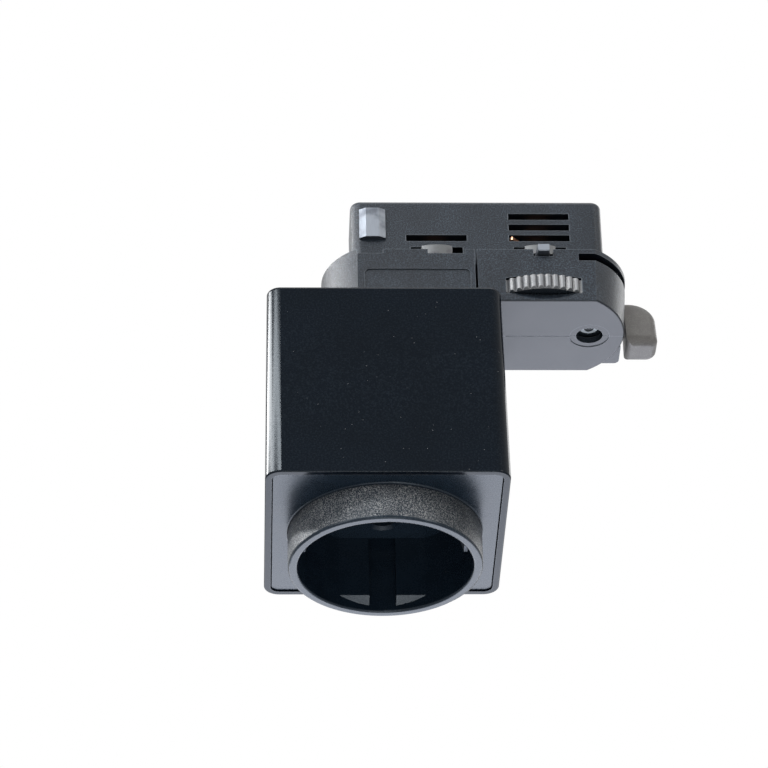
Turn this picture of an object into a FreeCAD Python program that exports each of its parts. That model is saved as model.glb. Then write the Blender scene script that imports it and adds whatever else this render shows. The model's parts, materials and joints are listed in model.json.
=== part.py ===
import FreeCAD, Part
import math
import os

import MeshPart
import Sketcher

# Socket outlet that hangs from a lighting track on a rotating-lever adapter.
# Millimetres. x=y=0 is the socket's axis, z=0 the shoulder that meets the track.

DRIVING_SIZES = {
    # Socket body, a hollow cube with a little draft
    "cube_margin": 5.08,
    "cube_draft": 0.5,
    "cube_corner": 3.5,
    "cube_edge": 0.9,
    "cube_wall": 1.5,
    "cube_roof": 2.0,
    "rim_edge": 0.35,
    "neck_height": 4.1,
    "neck_outer": 8.0,
    "post_inset": 3.8,
    "post_radius": 3.6,
    # Face plate with the plug recess
    "plate_gap": 0.25,
    "plate_inset": 0.35,
    "plate_thick": 2.2,
    "collar_wall": 2.12,
    "collar_drop": 8.53,
    "collar_edge": 0.5,
    "cup_wall": 1.7,
    "recess_radius": 19.25,
    "recess_depth": 17.5,
    "flat_rise": 2.6,
    "flat_start": 2.85,
    "flat_lead": 1.5,
    "channel_width": 6.0,
    "lip_thick": 1.0,
    "lip_width": 2.6,
    # Cover that forms the recess floor
    "cover_thick": 2.8,
    "cover_gap": 0.15,
    "pin_spacing": 19.0,
    "pin_hole": 2.9,
    "pin_funnel": 3.6,
    "funnel_depth": 0.7,
    "clip_slot_width": 7.0,
    # Contact base and metal parts
    "base_margin": 1.9,
    "base_depth": 16.0,
    "base_corner": 3.0,
    "pin_radius": 2.4,
    "sleeve_wall": 0.7,
    "sleeve_length": 7.0,
    "sleeve_slit": 0.8,
    "sleeve_room": 0.5,
    "block_side": 8.0,
    "block_height": 10.6,
    "block_gap": 0.2,
    "block_rise": 6.2,
    "clip_inset": 1.4,
    "clip_bow": 1.1,
    "clip_width": 6.0,
    "clip_thick": 0.8,
    "clip_end": 6.0,
    "clip_tip": 2.5,
    "clip_knee": 2.0,
    "earth_screw_offset": 11.5,
    "small_thread": 1.6,
    "small_head": 3.0,
    "small_head_height": 1.9,
    "thread_gap": 0.05,
    "driver_slot": 0.7,
    # Threaded nipple and its nuts
    "nipple_radius": 4.95,
    "nipple_bore": 3.6,
    "nipple_gap": 0.15,
    "nut_height": 2.6,
    "nut_flats": 14.0,
    "nipple_spare": 0.8,
    "wire_radius": 1.05,
    "wire_circle": 1.5,
    "wire_grip": 3.2,
    "wire_space": 8.13,
    # Adapter housings
    "adapter_half": 14.35,
    "adapter_height": 14.1,
    "shell_wall": 1.6,
    "shell_floor": 1.7,
    "shell_roof": 1.15,
    "shell_edge": 0.4,
    "seam_left": 21.17,
    "seam_gap": 0.57,
    "tail_reach": 13.3,
    "tail_bulge": 2.65,
    "nose_throw": 18.95,
    "nose_bulge": 3.35,
    "nose_lean": 0.95,
    "nose_top_bulge": 2.55,
    "lid_gap": 0.1,
    "notch_depth": 1.15,
    "notch_one_end": 0.44,
    "notch_two_start": 10.6,
    "notch_two_end": 19.0,
    "panel_start": -3.8,
    "panel_end": 20.1,
    "panel_top": 5.4,
    "panel_bottom": 12.5,
    "panel_depth": 0.3,
    "panel_corner": 1.4,
    # Selector wheel and its windows
    "axis_x": 36.6,
    "wheel_proud": 2.05,
    "wheel_gap": 0.25,
    "wheel_bottom": 11.8,
    "wheel_top": 8.2,
    "wheel_bevel": 0.5,
    "wheel_rim": 3.2,
    "wheel_web": 2.2,
    "wheel_ribs": 60,
    "rib_depth": 0.5,
    "groove_width": 1.25,
    "window_left": 8.65,
    "window_right": 8.4,
    "window_rise": 0.85,
    "scoop_radius": 44.0,
    "scoop_depth": 0.8,
    "scoop_height": 1.85,
    "number_hole": 3.05,
    "number_radius": 11.05,
    "number_ring": 4.5,
    "number_ring_depth": 0.15,
    "seam_line_left": 8.0,
    "seam_line_right": 15.0,
    "seam_line_width": 0.16,
    "seam_line_depth": 0.2,
    "drum_radius": 3.9,
    "drum_gap": 0.2,
    "drum_height": 16.6,
    # Lock lever
    "slot_offset": 8.1,
    "slot_bottom": 3.1,
    "plate_bottom": 2.9,
    "plate_height": 1.45,
    "hub_radius": 9.0,
    "sleeve_outer": 6.0,
    "bearing_gap": 0.2,
    "arm_angle": 40.0,
    "arm_half": 3.5,
    "fan_gap": 0.25,
    "fan_overlap": 1.6,
    "fan_inset": 1.8,
    "fan_start_angle": 17.0,
    "fan_sweep_angle": 33.0,
    "grip_gap": 0.95,
    "grip_depth": 7.2,
    "grip_front": 1.9,
    "grip_rear": 10.8,
    "grip_top": 0.6,
    "grip_slant": 4.3,
    "grip_round": 6.0,
    "grip_corner": 2.4,
    "grip_side": 2.0,
    "grip_edge": 1.7,
    "lug_start": 4.5,
    "lug_end": 11.9,
    "lug_gap": 1.2,
    "lug_top": 3.6,
    "lug_bottom": 13.6,
    "lug_corner": 1.2,
    # Coupling to the second dog
    "rotor_x": 13.0,
    "rotor_shaft": 4.5,
    "crank_radius": 7.0,
    "crank_angle": 224.0,
    "crank_half": 2.4,
    "crank_pin": 1.2,
    "pin_length": 2.2,
    "pivot_gap": 0.25,
    "link_half": 2.5,
    "link_thick": 1.5,
    "link_clear": 0.45,
    # Head that enters the track
    "head_start": -6.6,
    "head_beyond": 14.6,
    "head_half": 8.2,
    "head_height": 18.0,
    "head_corner": 2.4,
    "head_edge": 1.2,
    "dog_bottom": 2.1,
    "dog_thick": 2.4,
    "dog_reach": 9.8,
    "dog_half": 3.5,
    "dog_hub": 6.5,
    "dog_seat": 4.95,
    "dog_clear": 0.35,
    "blade_first": 7.0,
    "blade_step": 3.0,
    "blade_thick": 0.8,
    "blade_half": 1.5,
    "blade_reach": 10.3,
    "blade_ring": 5.0,
    "blade_clear": 0.45,
    "earth_start": -4.6,
    "earth_end": 1.4,
    "earth_bulge": 0.8,
    "earth_low": 7.0,
    "earth_high": 15.0,
    "earth_thick": 0.5,
    "head_screw_left": -4.3,
    "head_screw_right": 25.3,
    "head_screw_head": 1.8,
    "head_screw_thread": 1.2,
    "head_screw_length": 5.8,
    # Key tab in the front wall
    "tab_left": 1.5,
    "tab_width": 3.3,
    "tab_proud": 1.85,
    "tab_root": 2.75,
    "tab_bottom": 1.6,
    "tab_rise": 0.15,
    "tab_edge": 0.35,
    "tab_side_gap": 0.6,
    "tab_floor_gap": 0.3,
}

BLADE_ANGLES = (-135.0, -180.0, -225.0)

doc = FreeCAD.newDocument("track_socket")
sheet = doc.addObject("Spreadsheet::Sheet", "sizes")
for row, (alias, number) in enumerate(DRIVING_SIZES.items(), start=1):
    sheet.set(f"A{row}", alias)
    sheet.set(f"B{row}", str(number))
    sheet.setAlias(f"B{row}", alias)
doc.recompute()


class Size:
    """A size as a number together with the sheet formula that gives it."""

    def __init__(self, number, formula):
        self.number = number
        self.formula = formula

    def __add__(self, other):
        other = sized(other)
        return Size(self.number + other.number, f"({self.formula} + {other.formula})")

    def __sub__(self, other):
        other = sized(other)
        return Size(self.number - other.number, f"({self.formula} - {other.formula})")

    def __mul__(self, other):
        other = sized(other)
        return Size(self.number * other.number, f"({self.formula} * {other.formula})")

    def __truediv__(self, other):
        other = sized(other)
        return Size(self.number / other.number, f"({self.formula} / {other.formula})")

    def __neg__(self):
        return Size(-self.number, f"(-1 * {self.formula})")

    def __rsub__(self, other):
        return sized(other) - self

    __radd__ = __add__
    __rmul__ = __mul__


def sized(value):
    return value if isinstance(value, Size) else Size(float(value), f"({float(value)})")


def root(value):
    return Size(math.sqrt(value.number), f"sqrt({value.formula})")


def cosine(angle):
    return Size(math.cos(math.radians(angle.number)), f"cos({angle.formula} * 1 deg)")


def sine(angle):
    return Size(math.sin(math.radians(angle.number)), f"sin({angle.formula} * 1 deg)")


def chord_half(radius, offset):
    return root(radius * radius - offset * offset)


D = {alias: Size(float(number), f"sizes.{alias}") for alias, number in DRIVING_SIZES.items()}
ZERO = sized(0)
parts = []


def bind(item, prop, value):
    item.setExpression(prop, sized(value).formula)


def place(item, x, y, z):
    bind(item, "Placement.Base.x", x)
    bind(item, "Placement.Base.y", y)
    bind(item, "Placement.Base.z", z)


def turn(item, angle):
    item.Placement = FreeCAD.Placement(FreeCAD.Vector(), FreeCAD.Rotation(FreeCAD.Vector(0, 0, 1), 30))
    item.setExpression("Placement.Rotation.Angle", f"{sized(angle).formula} * 1 deg")


def box(name, x, y, z):
    item = doc.addObject("Part::Box", name)
    for prop, span in (("Length", x), ("Width", y), ("Height", z)):
        bind(item, prop, span[1] - span[0])
    place(item, x[0], y[0], z[0])
    return item


def cylinder(name, radius, z, x=ZERO, y=ZERO):
    item = doc.addObject("Part::Cylinder", name)
    bind(item, "Radius", radius)
    bind(item, "Height", z[1] - z[0])
    place(item, x, y, z[0])
    return item


def side_cylinder(name, radius, y, x, z):
    """A cylinder that lies along y."""
    item = doc.addObject("Part::Cylinder", name)
    item.Placement = FreeCAD.Placement(FreeCAD.Vector(), FreeCAD.Rotation(FreeCAD.Vector(1, 0, 0), -90))
    bind(item, "Radius", radius)
    bind(item, "Height", y[1] - y[0])
    place(item, x, y[0], z)
    return item


def cone(name, low, high, z, x=ZERO, y=ZERO):
    item = doc.addObject("Part::Cone", name)
    bind(item, "Radius1", low)
    bind(item, "Radius2", high)
    bind(item, "Height", z[1] - z[0])
    place(item, x, y, z[0])
    return item


def bar(name, reach, half, z, x, angle, start=ZERO):
    """A flat bar that starts near an upright axis at x and points at an angle."""
    item = doc.addObject("Part::Box", name)
    bind(item, "Length", reach - start)
    bind(item, "Width", half * 2)
    bind(item, "Height", z[1] - z[0])
    turn(item, angle)
    angle = sized(angle)
    place(item, x + start * cosine(angle) + half * sine(angle),
          start * sine(angle) - half * cosine(angle), z[0])
    return item


def fuse(name, items):
    item = doc.addObject("Part::MultiFuse", name)
    item.Shapes = items
    return item


def common(name, items):
    item = doc.addObject("Part::MultiCommon", name)
    item.Shapes = items
    return item


def cut(name, base, tools):
    item = doc.addObject("Part::Cut", name)
    item.Base = base
    item.Tool = tools[0] if len(tools) == 1 else fuse(name + "_tools", tools)
    return item


def group(name, items):
    item = doc.addObject("Part::Compound", name)
    item.Links = items
    return item


def keep(item, label):
    item.Label = label
    parts.append(item)
    return item


def new_body(name):
    return doc.addObject("PartDesign::Body", name)


def new_sketch(body, name, role, lift):
    sketch = body.newObject("Sketcher::SketchObject", name)
    plane = [item for item in body.Origin.OriginFeatures if item.Role == role][0]
    sketch.AttachmentSupport = [(plane, "")]
    sketch.MapMode = "FlatFace"
    bind(sketch, "AttachmentOffset.Base.z", lift)
    return sketch


def pin_down(sketch, kind, element, point, value):
    index = sketch.addConstraint(Sketcher.Constraint(kind, -1, 1, element, point, value.number))
    bind(sketch, f"Constraints[{index}]", value)


def arc_between(start, end, radius):
    """The short arc from start to end; a positive radius bulges out of an anticlockwise outline."""
    chord = end - start
    side = FreeCAD.Vector(-chord.y, chord.x, 0)
    side.normalize()
    sign = 1 if radius > 0 else -1
    centre = (start + end) * 0.5 + side * (sign * math.sqrt(radius ** 2 - (chord.Length / 2) ** 2))
    first, last = (start, end) if sign > 0 else (end, start)
    angles = [math.atan2(spot.y - centre.y, spot.x - centre.x) for spot in (first, last)]
    circle = Part.Circle(centre, FreeCAD.Vector(0, 0, 1), abs(radius))
    return Part.ArcOfCircle(circle, angles[0], angles[1])


def draw(sketch, corners):
    """A closed outline. A corner is (x, y), or (x, y, radius) where an arc starts."""
    spots = [FreeCAD.Vector(sized(c[0]).number, sized(c[1]).number, 0) for c in corners]
    ends = []
    for index, corner in enumerate(corners):
        start = spots[index]
        end = spots[(index + 1) % len(spots)]
        if len(corner) == 2:
            element = sketch.addGeometry(Part.LineSegment(start, end))
            ends.append((element, 1, 2))
            continue
        radius = sized(corner[2])
        element = sketch.addGeometry(arc_between(start, end, radius.number))
        ends.append((element, 1, 2) if radius.number > 0 else (element, 2, 1))
        size = radius if radius.number > 0 else -radius
        rule = sketch.addConstraint(Sketcher.Constraint("Radius", element, size.number))
        bind(sketch, f"Constraints[{rule}]", size)
    for index, (element, first, last) in enumerate(ends):
        following = ends[(index + 1) % len(ends)]
        sketch.addConstraint(Sketcher.Constraint("Coincident", element, last, following[0], following[1]))
        pin_down(sketch, "DistanceX", element, first, sized(corners[index][0]))
        pin_down(sketch, "DistanceY", element, first, sized(corners[index][1]))


def draw_circle(sketch, radius, x=ZERO, y=ZERO):
    circle = Part.Circle(FreeCAD.Vector(x.number, y.number, 0), FreeCAD.Vector(0, 0, 1), radius.number)
    element = sketch.addGeometry(circle)
    rule = sketch.addConstraint(Sketcher.Constraint("Radius", element, radius.number))
    bind(sketch, f"Constraints[{rule}]", radius)
    pin_down(sketch, "DistanceX", element, 3, x)
    pin_down(sketch, "DistanceY", element, 3, y)


def rounded_box(x, y, radius):
    """The corners of a rectangle with rounded corners, anticlockwise."""
    left, right = x
    low, high = y
    return [(left + radius, low), (right - radius, low, radius),
            (right, low + radius), (right, high - radius, radius),
            (right - radius, high), (left + radius, high, radius),
            (left, high - radius), (left, low + radius, radius)]


def feature(body, kind, name, sketch, length, reverse=False, middle=False):
    item = body.newObject(f"PartDesign::{kind}", name)
    item.Profile = sketch
    bind(item, "Length", length)
    item.Reversed = reverse
    item.Midplane = middle
    body.Tip = item
    return item


def spin(body, kind, name, sketch):
    item = body.newObject(f"PartDesign::{kind}", name)
    item.Profile = sketch
    item.ReferenceAxis = (sketch, ["V_Axis"])
    item.Angle = 360
    body.Tip = item
    return item


def round_edges(body, name, radius, wanted):
    doc.recompute()
    base = body.Tip
    names = [f"Edge{n}" for n, edge in enumerate(base.Shape.Edges, start=1) if wanted(edge)]
    item = body.newObject("PartDesign::Fillet", name)
    item.Base = (base, names)
    bind(item, "Radius", radius)
    body.Tip = item
    return item


def level(edge, height):
    return all(abs(v.Z - height.number) < 1e-4 for v in edge.Vertexes)


def upright(edge, x=None, y=None):
    spots = [v.Point for v in edge.Vertexes]
    if len(spots) < 2 or abs(spots[0].z - spots[1].z) < 1e-4:
        return False
    if abs(spots[0].x - spots[1].x) > 1e-4 or abs(spots[0].y - spots[1].y) > 1e-4:
        return False
    on_x = x is None or abs(spots[0].x - x.number) < 1e-4
    on_y = y is None or abs(spots[0].y - y.number) < 1e-4
    return on_x and on_y


# Levels and places that several pieces share
adapter_low = -D["adapter_height"]
adapter_floor = adapter_low + D["shell_floor"]
cube_top = adapter_low - D["neck_height"]
cube_ceiling = cube_top - D["cube_roof"]
nipple_low = cube_ceiling - D["nut_height"] - D["nipple_spare"]
block_top = nipple_low - D["wire_space"]
block_low = block_top - D["block_height"]
base_back = block_top - D["block_rise"]
base_face = base_back - D["base_depth"]
cover_back = base_face - D["lip_thick"]
recess_floor = cover_back - D["cover_thick"]
mouth = recess_floor - D["recess_depth"]
rim = mouth + D["collar_drop"]
plate_low = rim + D["plate_inset"]
plate_high = plate_low + D["plate_thick"]
pin_y = D["pin_spacing"] / 2
thread_bore = D["small_thread"] + D["thread_gap"]
strip_level = base_back + D["clip_thick"]
seam_right = D["seam_left"] + D["seam_gap"]
roof_low = -D["shell_roof"]
drum_room = D["drum_radius"] + D["drum_gap"]
dog_high = D["dog_bottom"] + D["dog_thick"]
nipple_top = adapter_floor + D["nut_height"] + D["nipple_spare"]
plate_lever = (-D["plate_bottom"], -D["plate_bottom"] + D["plate_height"])
flat_offset = D["recess_radius"] - D["flat_rise"]
lip_radius = D["recess_radius"] - D["lip_width"]
cup_radius = D["recess_radius"] + D["cup_wall"]
collar_radius = D["recess_radius"] + D["collar_wall"]
cube_half = collar_radius + D["cube_margin"]
mouth_inner = cube_half - D["cube_wall"]
clip_offset = D["recess_radius"] - D["clip_inset"]
clip_bump = clip_offset - D["clip_bow"]
base_half = D["recess_radius"] + D["base_margin"]
post_side = base_half - D["post_inset"]
wheel_radius = D["adapter_half"] + D["wheel_proud"]
wheel_space = (-D["wheel_bottom"] - D["wheel_gap"], -D["wheel_top"] + D["wheel_gap"])
nose_reach = D["axis_x"] + D["nose_throw"]
nose_radius = D["adapter_half"] + D["nose_bulge"]
nose_centre = nose_reach - nose_radius
grip_inner = nose_reach + D["grip_gap"]
grip_outer = grip_inner + D["grip_depth"]
fan_inner = D["nose_throw"] + D["fan_gap"]


def socket_housing():
    """The hollow cube: drafted walls, roof with the nipple hole, two screw posts."""
    body = new_body("housing_body")
    outline = new_sketch(body, "housing_outline", "XY_Plane", rim)
    draw(outline, rounded_box((-cube_half, cube_half), (-cube_half, cube_half), D["cube_corner"]))
    block = feature(body, "Pad", "housing_block", outline, cube_top - rim)
    block.setExpression("TaperAngle", f"-atan(sizes.cube_draft / {(cube_top - rim).formula})")
    round_edges(body, "housing_top_edge", D["cube_edge"], lambda edge: level(edge, cube_top))
    round_edges(body, "housing_rim_edge", D["rim_edge"], lambda edge: level(edge, rim))
    inside = new_sketch(body, "housing_inside", "XY_Plane", rim)
    span = (-mouth_inner, mouth_inner)
    draw(inside, rounded_box(span, span, D["cube_corner"] - D["cube_wall"]))
    feature(body, "Pocket", "housing_cavity", inside, cube_ceiling - rim, reverse=True)
    posts = new_sketch(body, "housing_posts", "XY_Plane", base_back)
    hole = new_sketch(body, "housing_holes", "XY_Plane", base_back)
    for side in (1, -1):
        draw_circle(posts, D["post_radius"], post_side * side, post_side * side)
        draw_circle(hole, thread_bore, post_side * side, post_side * side)
    feature(body, "Pad", "housing_post_pads", posts, cube_ceiling - base_back + D["cube_roof"] / 2)
    feature(body, "Pocket", "housing_post_holes", hole, cube_ceiling - base_back, reverse=True)
    entry = new_sketch(body, "housing_entry", "XY_Plane", cube_top)
    draw_circle(entry, D["nipple_radius"] + D["nipple_gap"])
    feature(body, "Pocket", "housing_entry_hole", entry, D["cube_roof"] * 2)
    return keep(body, "socket_housing")


def segment(side, start, end):
    """A sketch outline of one flat beside the plug, from x start to x end, on side +1 or -1."""
    flat = flat_offset * side
    radius = D["recess_radius"] + D["cover_gap"]
    tips = [(x, chord_half(radius, x) * side) for x in (start, end)]
    if side > 0:
        return [(start, flat), (end, flat), (end, tips[1][1], radius), (start, tips[0][1])]
    return [(start, tips[0][1], radius), (end, tips[1][1]), (end, flat), (start, flat)]


def flat_leads():
    """Sloped lead-ins below the flats, up to the recess wall."""
    radius = D["recess_radius"] + D["cover_gap"]
    high = mouth + D["flat_start"]
    reach = chord_half(radius, flat_offset) * 2
    slopes = []
    for side, name in ((1, "rear"), (-1, "front")):
        body = new_body(f"lead_body_{name}")
        section = new_sketch(body, f"lead_section_{name}", "YZ_Plane", ZERO)
        corners = [(flat_offset * side, high), (radius * side, high - D["flat_lead"]),
                   (radius * side, high)]
        draw(section, corners if side > 0 else corners[::-1])
        feature(body, "Pad", f"lead_pad_{name}", section, reach, middle=True)
        slopes.append(body)
    disc = cylinder("lead_disc", radius, (high - D["flat_lead"], high))
    half = D["channel_width"] / 2
    channel = box("lead_channel", (-half, half), (-radius, radius), (high - D["flat_lead"], high))
    return cut("lead_cut", common("lead_common", [fuse("lead_pair", slopes), disc]), [channel])


def socket_face():
    """Face plate, round collar and recess wall in one moulding, with the two keyed flats."""
    body = new_body("face_body")
    plate = new_sketch(body, "face_plate_outline", "XY_Plane", plate_low)
    reach = mouth_inner - D["plate_gap"]
    corner = D["cube_corner"] - D["cube_wall"] - D["plate_gap"]
    draw(plate, rounded_box((-reach, reach), (-reach, reach), corner))
    draw_circle(plate, D["recess_radius"] + D["cover_gap"])
    feature(body, "Pad", "face_plate", plate, D["plate_thick"])
    wall = new_sketch(body, "face_wall_section", "XZ_Plane", ZERO)
    inner, outer, edge = D["recess_radius"], collar_radius, D["collar_edge"]
    draw(wall, [(inner + edge, mouth), (outer - edge, mouth, edge),
                (outer, mouth + edge), (outer, plate_high),
                (cup_radius, plate_high), (cup_radius, base_face),
                (lip_radius, base_face), (lip_radius, cover_back),
                (inner, cover_back), (inner, mouth + edge, edge)])
    spin(body, "Revolution", "face_wall", wall)
    half = D["channel_width"] / 2
    tip = chord_half(D["recess_radius"] + D["cover_gap"], flat_offset)
    inset = D["cover_gap"]
    flats = new_sketch(body, "face_flats_outline", "XY_Plane", mouth + D["flat_start"])
    for side in (1, -1):
        draw(flats, segment(side, half, tip - inset))
        draw(flats, segment(side, -(tip - inset), -half))
    feature(body, "Pad", "face_flats", flats, cover_back - mouth - D["flat_start"])
    slots = new_sketch(body, "face_clip_slots", "XY_Plane", cover_back)
    low = lip_radius - D["clip_thick"]
    high = clip_offset + D["clip_thick"]
    half = D["clip_slot_width"] / 2
    for left, right in ((low, high), (-high, -low)):
        draw(slots, [(left, -half), (right, -half), (right, half), (left, half)])
    feature(body, "Pocket", "face_slots", slots, D["lip_thick"], reverse=True)
    round_edges(body, "face_collar_root", D["rim_edge"],
                lambda e: level(e, plate_low) and abs(e.BoundBox.XMax - outer.number) < 1e-3)
    return keep(fuse("face_fuse", [body, flat_leads()]), "socket_face")


def contact_cover():
    """The recess floor: pin holes with funnels, slots for the earth springs, screw seat."""
    radius = D["recess_radius"] - D["cover_gap"]
    flat = flat_offset - D["cover_gap"]
    span = (recess_floor, cover_back)
    disc = cylinder("cover_disc", radius, span)
    trim = box("cover_trim", (-radius, radius), (-flat, flat), span)
    blank = common("cover_blank", [disc, trim])
    tools = [cylinder("cover_screw_hole", thread_bore, span),
             cone("cover_screw_seat", D["small_head"] + D["thread_gap"], thread_bore,
                  (recess_floor, recess_floor + D["small_head_height"]))]
    half = D["clip_slot_width"] / 2
    for side in (1, -1):
        y = pin_y * side
        tools.append(cylinder(f"cover_pin_hole_{side + 1}", D["pin_hole"], span, y=y))
        tools.append(cone(f"cover_funnel_{side + 1}", D["pin_funnel"], D["pin_hole"],
                          (recess_floor, recess_floor + D["funnel_depth"]), y=y))
        near = clip_bump - D["clip_thick"] * 2
        far = radius + D["clip_thick"]
        x = (near, far) if side > 0 else (-far, -near)
        tools.append(box(f"cover_clip_slot_{side + 1}", x, (-half, half), span))
    return keep(cut("cover_cut", blank, tools), "contact_cover")


def clip_slot(name, side, z):
    """Room in the base for one arm of the earth clip."""
    near = clip_offset - D["clip_thick"]
    far = clip_offset + D["clip_thick"]
    x = (near, far) if side > 0 else (-far, -near)
    half = D["clip_slot_width"] / 2
    return box(name, x, (-half, half), z)


def contact_base():
    """The insulating block that carries the contacts and is screwed to the housing posts."""
    body = new_body("base_body")
    outline = new_sketch(body, "base_outline", "XY_Plane", base_face)
    span = (-base_half, base_half)
    draw(outline, rounded_box(span, span, D["base_corner"]))
    feature(body, "Pad", "base_pad", outline, D["base_depth"])
    chambers = new_sketch(body, "base_chambers", "XY_Plane", base_face)
    pockets = new_sketch(body, "base_pockets", "XY_Plane", base_back)
    room = D["pin_radius"] + D["sleeve_wall"] + D["sleeve_room"]
    half = D["block_side"] / 2 + D["block_gap"]
    for side in (1, -1):
        y = pin_y * side
        draw_circle(chambers, room, ZERO, y)
        draw(pockets, [(-half, y - half), (half, y - half), (half, y + half), (-half, y + half)])
    feature(body, "Pocket", "base_chamber_cut", chambers, D["base_depth"], reverse=True)
    feature(body, "Pocket", "base_pocket_cut", pockets, base_back - block_low)
    screws = new_sketch(body, "base_screw_circles", "XY_Plane", base_face)
    seats = new_sketch(body, "base_screw_seats", "XY_Plane", base_face)
    for side in (1, -1):
        spot = post_side * side
        draw_circle(screws, thread_bore, spot, spot)
        draw_circle(seats, D["small_head"] + D["thread_gap"], spot, spot)
    draw_circle(screws, thread_bore)
    feature(body, "Pocket", "base_screw_cut", screws, D["base_depth"], reverse=True)
    feature(body, "Pocket", "base_seat_cut", seats, D["small_head_height"] * 1.5, reverse=True)
    earth = new_sketch(body, "base_earth_hole", "XY_Plane", base_back)
    draw_circle(earth, thread_bore, D["earth_screw_offset"])
    feature(body, "Pocket", "base_earth_cut", earth, D["wire_grip"] * 1.5)
    arms = [clip_slot(f"base_clip_slot_{side + 1}", side, (base_face, base_back)) for side in (1, -1)]
    return keep(cut("base_cut", body, arms), "contact_base")


def pin_contact(side, label):
    """A slit spring sleeve for one plug pin under its screw terminal block."""
    y = pin_y * side
    outer = D["pin_radius"] + D["sleeve_wall"]
    low = block_low - D["sleeve_length"]
    sleeve = cylinder(label + "_sleeve", outer, (low, block_low), y=y)
    half = D["block_side"] / 2
    block = box(label + "_block", (-half, half), (y - half, y + half), (block_low, block_top))
    solid = fuse(label + "_solid", [sleeve, block])
    bore = cylinder(label + "_bore", D["pin_radius"], (low, block_low), y=y)
    slit = box(label + "_slit", (-D["sleeve_slit"] / 2, D["sleeve_slit"] / 2),
               (y - outer, y + outer), (low, block_low - D["sleeve_wall"] * 2))
    wire = cylinder(label + "_wire_hole", D["wire_radius"] + D["thread_gap"],
                    (block_top - D["wire_grip"], block_top), y=y)
    past = D["wire_radius"] / 2
    reach = (y - past, y + half) if side > 0 else (y - half, y + past)
    clamp = side_cylinder(label + "_clamp_hole", thread_bore, reach, ZERO, clamp_level())
    return keep(cut(label + "_cut", solid, [bore, slit, wire, clamp]), label)


def clamp_level():
    """Height of the clamp screws, just above the base so that a driver reaches them."""
    return base_back + D["small_head"] - D["thread_gap"]


def screw(name, low, high, x, y, head_up=False):
    """A slotted screw along z, head at its lower end unless head_up."""
    head = D["small_head_height"]
    head_span = (high - head, high) if head_up else (low, low + head)
    slot_span = (high - D["driver_slot"], high) if head_up else (low, low + D["driver_slot"])
    shank = cylinder(name + "_shank", D["small_thread"], (low, high), x, y)
    cap = cylinder(name + "_head", D["small_head"], head_span, x, y)
    half = D["driver_slot"] / 2
    reach = D["small_head"]
    slot = box(name + "_slot", (x - reach, x + reach), (y - half, y + half), slot_span)
    return cut(name, fuse(name + "_solid", [shank, cap]), [slot])


def face_screw():
    """The countersunk centre screw that clamps cover and face to the base."""
    head = D["small_head_height"]
    top = base_face + D["base_depth"] / 2
    shank = cylinder("face_screw_shank", D["small_thread"], (recess_floor + head, top))
    cap = cone("face_screw_head", D["small_head"], D["small_thread"], (recess_floor, recess_floor + head))
    half = D["driver_slot"] / 2
    reach = D["small_head"]
    span = (recess_floor, recess_floor + D["driver_slot"])
    slots = [box("face_screw_slot_x", (-reach, reach), (-half, half), span),
             box("face_screw_slot_y", (-half, half), (-reach, reach), span)]
    return keep(cut("face_screw_cut", fuse("face_screw_solid", [shank, cap]), slots), "face_screw")


def base_screws():
    """Two screws that hold the base to the housing posts."""
    seat = base_face + D["small_head_height"] * 0.5
    top = base_back + D["base_depth"] / 2
    pair = [screw(f"base_screw_{side + 1}", seat, top, post_side * side, post_side * side)
            for side in (1, -1)]
    return keep(group("base_screw_pair", pair), "base_screws")


def terminal_screws():
    """The clamp screws of the two pin contacts and the saddle screw of the earth clip."""
    items = []
    half = D["block_side"] / 2
    head = D["small_head_height"]
    for side in (1, -1):
        name = f"clamp_screw_{side + 1}"
        face = (pin_y + half) * side
        tip = (pin_y + D["wire_radius"] + D["thread_gap"]) * side
        end = face + (head + D["driver_slot"]) * side
        spans = ((tip, end), (face + D["driver_slot"] * side, end))
        if side < 0:
            spans = ((end, tip), (end, face - D["driver_slot"]))
        shank = side_cylinder(name + "_shank", D["small_thread"], spans[0], ZERO, clamp_level())
        cap = side_cylinder(name + "_head", D["small_head"] - D["driver_slot"], spans[1], ZERO, clamp_level())
        items.append(fuse(name, [shank, cap]))
    high = strip_level + D["wire_radius"] * 2 + head
    low = base_back - D["wire_grip"]
    items.append(screw("earth_screw", low, high, D["earth_screw_offset"], ZERO, head_up=True))
    return keep(group("terminal_screw_set", items), "terminal_screws")


def earth_clip():
    """One bent strip over the base, with a spring arm at each side of the recess."""
    body = new_body("clip_body")
    section = new_sketch(body, "clip_section", "XZ_Plane", ZERO)
    thick = D["clip_thick"]
    outer = clip_offset + thick / 2
    inner = outer - thick
    bump = clip_bump
    end = mouth + D["clip_end"]
    knee = recess_floor - D["clip_knee"]
    crest = end + D["clip_tip"]
    right = [(outer, strip_level), (outer, knee), (bump + thick, crest), (outer, end)]
    inside = [(inner, base_back), (inner, knee), (bump, crest), (outer - thick, end)]
    left_out = [(-x, z) for x, z in right]
    left_in = [(-x, z) for x, z in inside]
    corners = left_out[::-1][:3] + [left_out[0]] + right + inside[::-1] + left_in
    draw(section, corners[::-1])
    feature(body, "Pad", "clip_strip", section, D["clip_width"], middle=True)
    round_edges(body, "clip_shoulders", thick,
                lambda e: level(e, strip_level) and abs(abs(e.Vertexes[0].X) - outer.number) < 1e-4
                and abs(e.Vertexes[0].X - e.Vertexes[-1].X) < 1e-4)
    hole = cylinder("clip_screw_hole", thread_bore, (base_back, strip_level), D["earth_screw_offset"])
    return keep(cut("clip_cut", body, [hole]), "earth_clip")


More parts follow.
